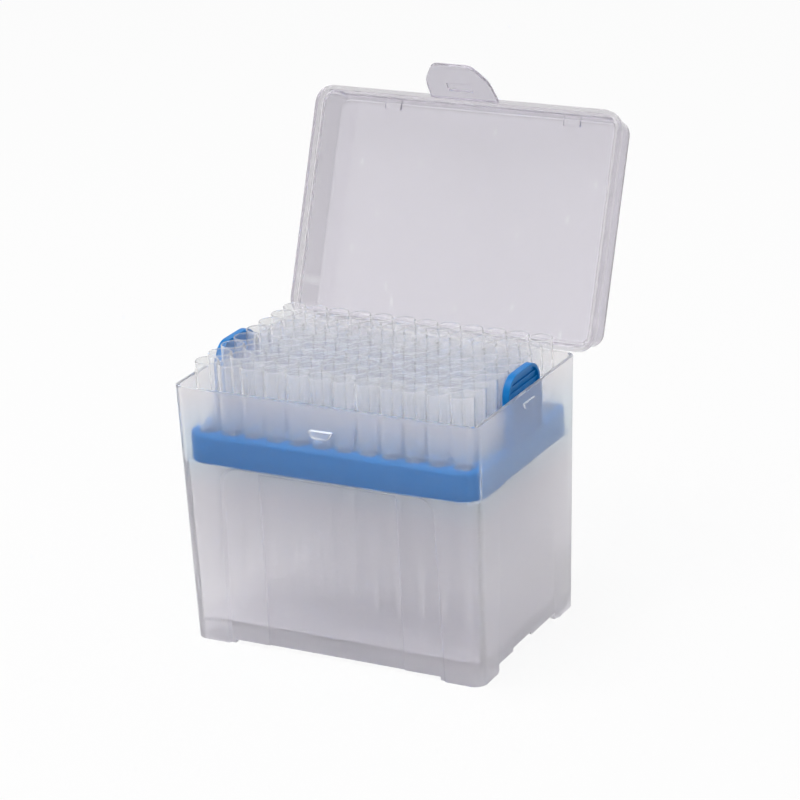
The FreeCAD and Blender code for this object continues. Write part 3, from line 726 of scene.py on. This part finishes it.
def buildRack():
    halfX, halfY = rack["half"]
    deck = addBlock("rack", (-halfX, -halfY, rack["low"]), (halfX, halfY, rack["deck"]))
    editPiece(deck)
    roundEdges(lambda e: along(e, "Z"), rack["corner"], segments=10)
    choose("FACE", facesDown)
    sinkPocket(rack["skirt"], rack["low"], rack["under"])
    roundEdges(lambda e: middle(e).z > rack["deck"] - shaping["exact"], rack["topEdge"],
               segments=3)
    leaveEdit()
    punches = [addRod("punch", rack["hole"], (x, y, rack["under"] - rack["past"]),
                      rack["punchLength"], "Z", sides=20) for _, x, y in tipPlaces()]
    combine(deck, [joinPieces(punches)], "DIFFERENCE")
    right = liftingHandle()
    left = copyPiece(right, Matrix.Rotation(math.pi, 4, "Z"))
    joinPieces([deck, right, left])
    deck.data.materials.append(bluePp)
    finishPiece(deck, "blue_rack", "base", "tip_rack")
    return deck


tipRack = buildRack()
print("rack made", len(tipRack.data.polygons))

# Tips: one turned tip with a fluted head, copied to the places of a column. The profile runs
# from the lip down the outside and back up the bore, as pairs of radius and height.
tip = {"sides": 36, "flute": 0.015, "fluteRadius": 4, "fluteFrom": 80.2, "fluteTo": 97,
       "lipFrom": 103.5, "smoothAngle": 20,
       "profile": [(4.1, 103.8), (4.3, 103.5), (4.22, 97.8), (4.19, 97.0), (4.06, 80.2),
                   (4.05, 79.0), (3.9, 78.25), (3.5, 78.2), (2.6, 45.8), (0.95, 20.1),
                   (0.8, 19.8), (0.5, 19.8), (2.1, 45.8), (3.05, 78.2), (3.8, 97.8),
                   (3.8, 103.5), (3.95, 103.8)]}


def onFlute(corner):  # whether a corner is on every second line of the head's outside
    place = corner.co
    line = round(math.atan2(place.y, place.x) / (2 * math.pi / tip["sides"]))
    return (line % 2 == 0 and place.xy.length > tip["fluteRadius"]
            and tip["fluteFrom"] - near < place.z < tip["fluteTo"] + near)


def buildTips():
    first = turnedShape("tip", tip["sides"], tip["profile"])
    editPiece(first)
    choose("VERT", onFlute)
    squeeze((1 + tip["flute"], 1 + tip["flute"]), 0)
    first.data.materials.append(clearPp)
    first.data.materials.append(highlightLipPp)
    # a painted highlight on the tips' lips
    paintFaces(first, highlightLipPp, lambda f: f.calc_center_median().z > tip["lipFrom"] - near)
    leaveEdit()
    columns = {}
    for column, x, y in tipPlaces():
        twin = copyPiece(first, Matrix.Translation((x, y, 0)))
        columns.setdefault(column + 1, []).append(twin)
    for column, tips in columns.items():
        finishPiece(joinPieces(tips), "tips_%02d" % column, "base", "tips_column_%02d" % column,
                    tip["smoothAngle"])
    bpy.data.objects.remove(first)


buildTips()
print("tips made")

# Lid: a shallow drafted tray on a flange, modelled closed and then turned back about the hinge
lid = {"flangeHalf": (61.4, 43.4), "flangeCorner": 7, "flangeLow": 93.5, "flangeTop": 96.9,
       "shoulder": 1.6, "topHalf": (59.1, 41.1), "top": 110.3, "topEdge": 1.6, "rimInset": 1.5,
       "rimTop": 96.1, "wall": 1.5, "cavityTop": (57.7, 39.7), "ceiling": 109.1,
       "ceilingEdge": 0.8, "padX": (33.15, 39.65), "padY": (-40.2, -37.5),
       "padZ": (107.8, 109.4), "knuckleX": (27.5, 36.5), "knuckleRadius": 1.9, "bore": 1.1,
       "armY": 42.2, "clipSlot": 1.7, "clipDepth": 3, "past": 1, "edge": 0.3, "open": 111}

# How the faces of the lid are told apart for painting
lidFaces = {"padSlack": 0.4, "level": 0.95, "rimAbove": 1, "wallDepth": 1.5}


def turnAbout(piece, degrees, place):
    pivot = Vector(place)
    piece.matrix_world = (Matrix.Translation(pivot)
                          @ Matrix.Rotation(math.radians(degrees), 4, "X")
                          @ Matrix.Translation(-pivot))
    useOnly(piece)
    applyPlace()


def onPad(face):  # whether a face is an edge of one of the two pads
    place = face.calc_center_median()
    slack = lidFaces["padSlack"]
    return (lid["padX"][0] - slack < abs(place.x) < lid["padX"][1] + slack
            and lid["padY"][0] < place.y < lid["padY"][1] + slack
            and lid["padZ"][0] - near < place.z < lid["ceiling"]
            and abs(face.normal.z) < lidFaces["level"])


def onRim(face):
    return face.calc_center_median().z < lid["flangeTop"] + lidFaces["rimAbove"]


def onWall(face):  # whether a face is the outside of one of the tray's walls
    place = face.calc_center_median()
    depth = lid["shoulder"] + lidFaces["wallDepth"]
    outside = any(abs(place[side]) > lid["flangeHalf"][side] - depth for side in (0, 1))
    return outside and place.z < lid["ceiling"] and not onRim(face)


def buildLid():
    flangeX, flangeY = lid["flangeHalf"]
    topX, topY = lid["topHalf"]
    cavityX, cavityY = lid["cavityTop"]
    tray = addBlock("lid", (-flangeX, -flangeY, lid["flangeLow"]),
                    (flangeX, flangeY, lid["flangeTop"]))
    editPiece(tray)
    roundEdges(lambda e: along(e, "Z"), lid["flangeCorner"], segments=10)
    choose("FACE", facesUp)
    sinkPocket(lid["shoulder"], lid["flangeTop"], lid["top"],
               (topX / (flangeX - lid["shoulder"]), topY / (flangeY - lid["shoulder"])))
    choose("FACE", facesDown)
    sinkPocket(lid["rimInset"], lid["flangeLow"], lid["rimTop"])
    inset = lid["rimInset"] + lid["wall"]
    sinkPocket(lid["wall"], lid["rimTop"], lid["ceiling"],
               (cavityX / (flangeX - inset), cavityY / (flangeY - inset)))
    roundEdges(lambda e: middle(e).z > lid["top"] - shaping["exact"], lid["topEdge"], segments=5)
    roundEdges(lambda e: abs(middle(e).z - lid["ceiling"]) < shaping["exact"],
               lid["ceilingEdge"], segments=3)
    leaveEdit()
    hingeY, hingeZ = base["hinge"]
    past, slotHalf = lid["past"], lid["clipSlot"] / 2
    extras, holes = [], []
    for side in (1, -1):
        padStart, padEnd = sorted(side * x for x in lid["padX"])
        start, end = sorted(side * x for x in lid["knuckleX"])
        extras.append(addBlock("pad", (padStart, lid["padY"][0], lid["padZ"][0]),
                               (padEnd, lid["padY"][1], lid["padZ"][1])))
        extras.append(addBlock("arm", (start, lid["armY"], hingeZ),
                               (end, hingeY, hingeZ + lid["knuckleRadius"])))
        extras.append(addRod("knuckle", lid["knuckleRadius"], (start, hingeY, hingeZ),
                             end - start, "X"))
        holes.append(addRod("bore", lid["bore"], (start - past, hingeY, hingeZ),
                            end - start + 2 * past, "X", sides=20))
        holes.append(addBlock("slot", (start - past, hingeY - slotHalf, hingeZ - lid["clipDepth"]),
                              (end + past, hingeY + slotHalf, hingeZ)))
    combine(tray, extras, "UNION")
    combine(tray, holes, "DIFFERENCE")
    soften(tray, lid["edge"])
    for material in (lidPp, shadedPadEdgePp, lidRimPp, shadedLidWallPp):
        tray.data.materials.append(material)
    editPiece(tray)
    paintFaces(tray, lidRimPp, onRim)
    # painted shade on the outside of the lid's walls
    paintFaces(tray, shadedLidWallPp, onWall)
    # painted shade on the pads' edges
    paintFaces(tray, shadedPadEdgePp, onPad)
    leaveEdit()
    turnAbout(tray, -lid["open"], (0, hingeY, hingeZ))
    finishPiece(tray, "clear_lid", "lid", "lid")
    return tray


lidTray = buildLid()
print("lid made", len(lidTray.data.polygons))

# Latch tab: a tapered plate on a rounded root, with a pocket that snaps over the front catch
tab = {"outline": [(13.5, 0.7), (-13.5, 0.7), (-12.8, -9.9), (-7.7, -18.2), (7.7, -18.2),
                   (12.8, -9.9)],
       "thickness": 1.4, "waist": -9.9, "waistCorner": 3, "end": -18.2, "endCorner": 2,
       "pocketHalf": 4.7, "pocketZ": (-8.6, -4.6), "pocketDepth": 0.7, "pocketOut": 2,
       "rootRound": 0.62, "edge": 0.3, "turn": 145, "place": (0, 77.3414, 174.5522)}


def buildTab():
    half = tab["thickness"] / 2
    plate = addPlate("tab", tab["outline"], tab["thickness"], "Y", -half)
    editPiece(plate)
    roundEdges(lambda e: along(e, "Y") and abs(middle(e).z - tab["waist"]) < near,
               tab["waistCorner"], segments=5)
    roundEdges(lambda e: along(e, "Y") and abs(middle(e).z - tab["end"]) < near,
               tab["endCorner"], segments=5)
    roundEdges(lambda e: along(e, "X") and middle(e).z > half - near, tab["rootRound"],
               segments=6)
    leaveEdit()
    low, high = tab["pocketZ"]
    pocket = addBlock("pocket", (-tab["pocketHalf"], half - tab["pocketDepth"], low),
                      (tab["pocketHalf"], tab["pocketOut"], high))
    combine(plate, [pocket], "DIFFERENCE")
    soften(plate, tab["edge"])
    turnAbout(plate, -tab["turn"], (0, 0, 0))
    plate.location = tab["place"]
    applyPlace()
    plate.data.materials.append(lidPp)
    finishPiece(plate, "latch_tab_moulding", "latch", "latch_tab")
    return plate


latchTab = buildTab()
print("tab made", len(latchTab.data.polygons))

# Studio: white floor and background, soft light. "shadow" is the share of the floor that the
# light paints, and the levels through plastic keep it a little greyer than the background.
studio = {"floor": 6, "floorHeight": -0.0002, "paper": 0.68, "shadow": 0.09,
          "seenThrough": 0.88, "worldLight": 0.68, "worldThrough": 0.72,
          "keyPlace": (-0.3, -0.35, 1.5), "keyAim": (0, 0, 0.08), "keySize": 0.9, "keyPower": 16}


def buildFloor():
    deselectAll()
    bpy.ops.mesh.primitive_plane_add(size=studio["floor"], location=(0, 0, studio["floorHeight"]))
    floor = bpy.context.object
    floor.name = "floor"
    applyPlace()
    material, tree = newMaterial("whitePaper")
    path = addNode(tree, "LightPath")
    seen = addNode(tree, "Math", {"operation": "ADD"}, {0: path.outputs["Is Camera Ray"],
                                                       1: path.outputs["Is Glossy Ray"]})
    seen = addNode(tree, "Math", {"operation": "ADD", "use_clamp": True},
                   {0: seen.outputs[0], 1: path.outputs["Is Transmission Ray"]})
    share = addNode(tree, "Math", {"operation": "MULTIPLY", 1: 1 - studio["shadow"]},
                    {0: seen.outputs[0]})
    less = addNode(tree, "Math", {"operation": "MULTIPLY", 1: studio["seenThrough"]},
                   {0: path.outputs["Is Transmission Ray"]})
    share = addNode(tree, "Math", {"operation": "SUBTRACT", "use_clamp": True},
                    {0: share.outputs[0], 1: less.outputs[0]})
    paper = addNode(tree, "BsdfDiffuse", {"Color": [studio["paper"]] * 3 + [1]})
    glow = addNode(tree, "Emission", {"Color": (1, 1, 1, 1), "Strength": 1.0})
    mixed = addNode(tree, "MixShader", None,
                    {0: share.outputs[0], 1: paper.outputs[0], 2: glow.outputs[0]})
    addNode(tree, "OutputMaterial", None, {"Surface": mixed.outputs[0]})
    floor.data.materials.append(material)


def buildWorld():
    world = bpy.data.worlds.new("studioWorld")
    world.use_nodes = True
    scene.world = world
    tree = world.node_tree
    tree.nodes.clear()
    path = addNode(tree, "LightPath")
    seen = addNode(tree, "Math", {"operation": "ADD"}, {0: path.outputs["Is Camera Ray"],
                                                       1: path.outputs["Is Glossy Ray"]})
    lift = (studio["worldThrough"] - studio["worldLight"]) / (1 - studio["worldLight"])
    through = addNode(tree, "Math", {"operation": "MULTIPLY", 1: lift},
                      {0: path.outputs["Is Transmission Ray"]})
    seen = addNode(tree, "Math", {"operation": "MAXIMUM"},
                   {0: seen.outputs[0], 1: through.outputs[0]})
    level = addNode(tree, "MapRange", {"To Min": studio["worldLight"], "To Max": 1.0},
                    {"Value": seen.outputs[0]})
    glow = addNode(tree, "Background", {"Color": (1, 1, 1, 1)}, {"Strength": level.outputs[0]})
    addNode(tree, "OutputWorld", None, {"Surface": glow.outputs[0]})


def buildKeyLight():
    key = bpy.data.lights.new("key", "AREA")
    key.size = studio["keySize"]
    key.energy = studio["keyPower"]
    lamp = bpy.data.objects.new("key", key)
    scene.collection.objects.link(lamp)
    lamp.location = studio["keyPlace"]
    aim = Vector(studio["keyAim"]) - Vector(studio["keyPlace"])
    lamp.rotation_euler = aim.to_track_quat("-Z", "Y").to_euler()


# Camera: it looks at the target, in millimetres, from a distance, turned and raised in degrees
cameraSet = {"target": (1.7075, 14.1691, 79.9437), "distance": 1097.56, "azimuth": 27.913,
             "elevation": 20.160, "roll": -2.386, "lens": 138.70, "sensor": 36,
             "clip": (0.05, 20)}


def buildCamera():
    data = bpy.data.cameras.new("camera")
    data.sensor_width = cameraSet["sensor"]
    data.lens = cameraSet["lens"]
    data.clip_start, data.clip_end = cameraSet["clip"]
    camera = bpy.data.objects.new("camera", data)
    scene.collection.objects.link(camera)
    turn, rise = math.radians(cameraSet["azimuth"]), math.radians(cameraSet["elevation"])
    back = Vector((math.sin(turn) * math.cos(rise), -math.cos(turn) * math.cos(rise),
                   math.sin(rise)))
    place = (Vector(cameraSet["target"]) + back * cameraSet["distance"]) * millimetre
    facing = (-back).to_track_quat("-Z", "Y").to_matrix().to_4x4()
    camera.matrix_world = (Matrix.Translation(place) @ facing
                           @ Matrix.Rotation(math.radians(cameraSet["roll"]), 4, "Z"))
    scene.camera = camera


buildFloor()
buildWorld()
buildKeyLight()
buildCamera()
scene.view_settings.view_transform = "Standard"
# light crosses many walls of clear plastic one behind the other
scene.cycles.max_bounces = 128
scene.cycles.transmission_bounces = 128
scene.cycles.glossy_bounces = 128
scene.cycles.diffuse_bounces = 32
scene.cycles.transparent_max_bounces = 64
scene.cycles.blur_glossy = 0
print("studio made")
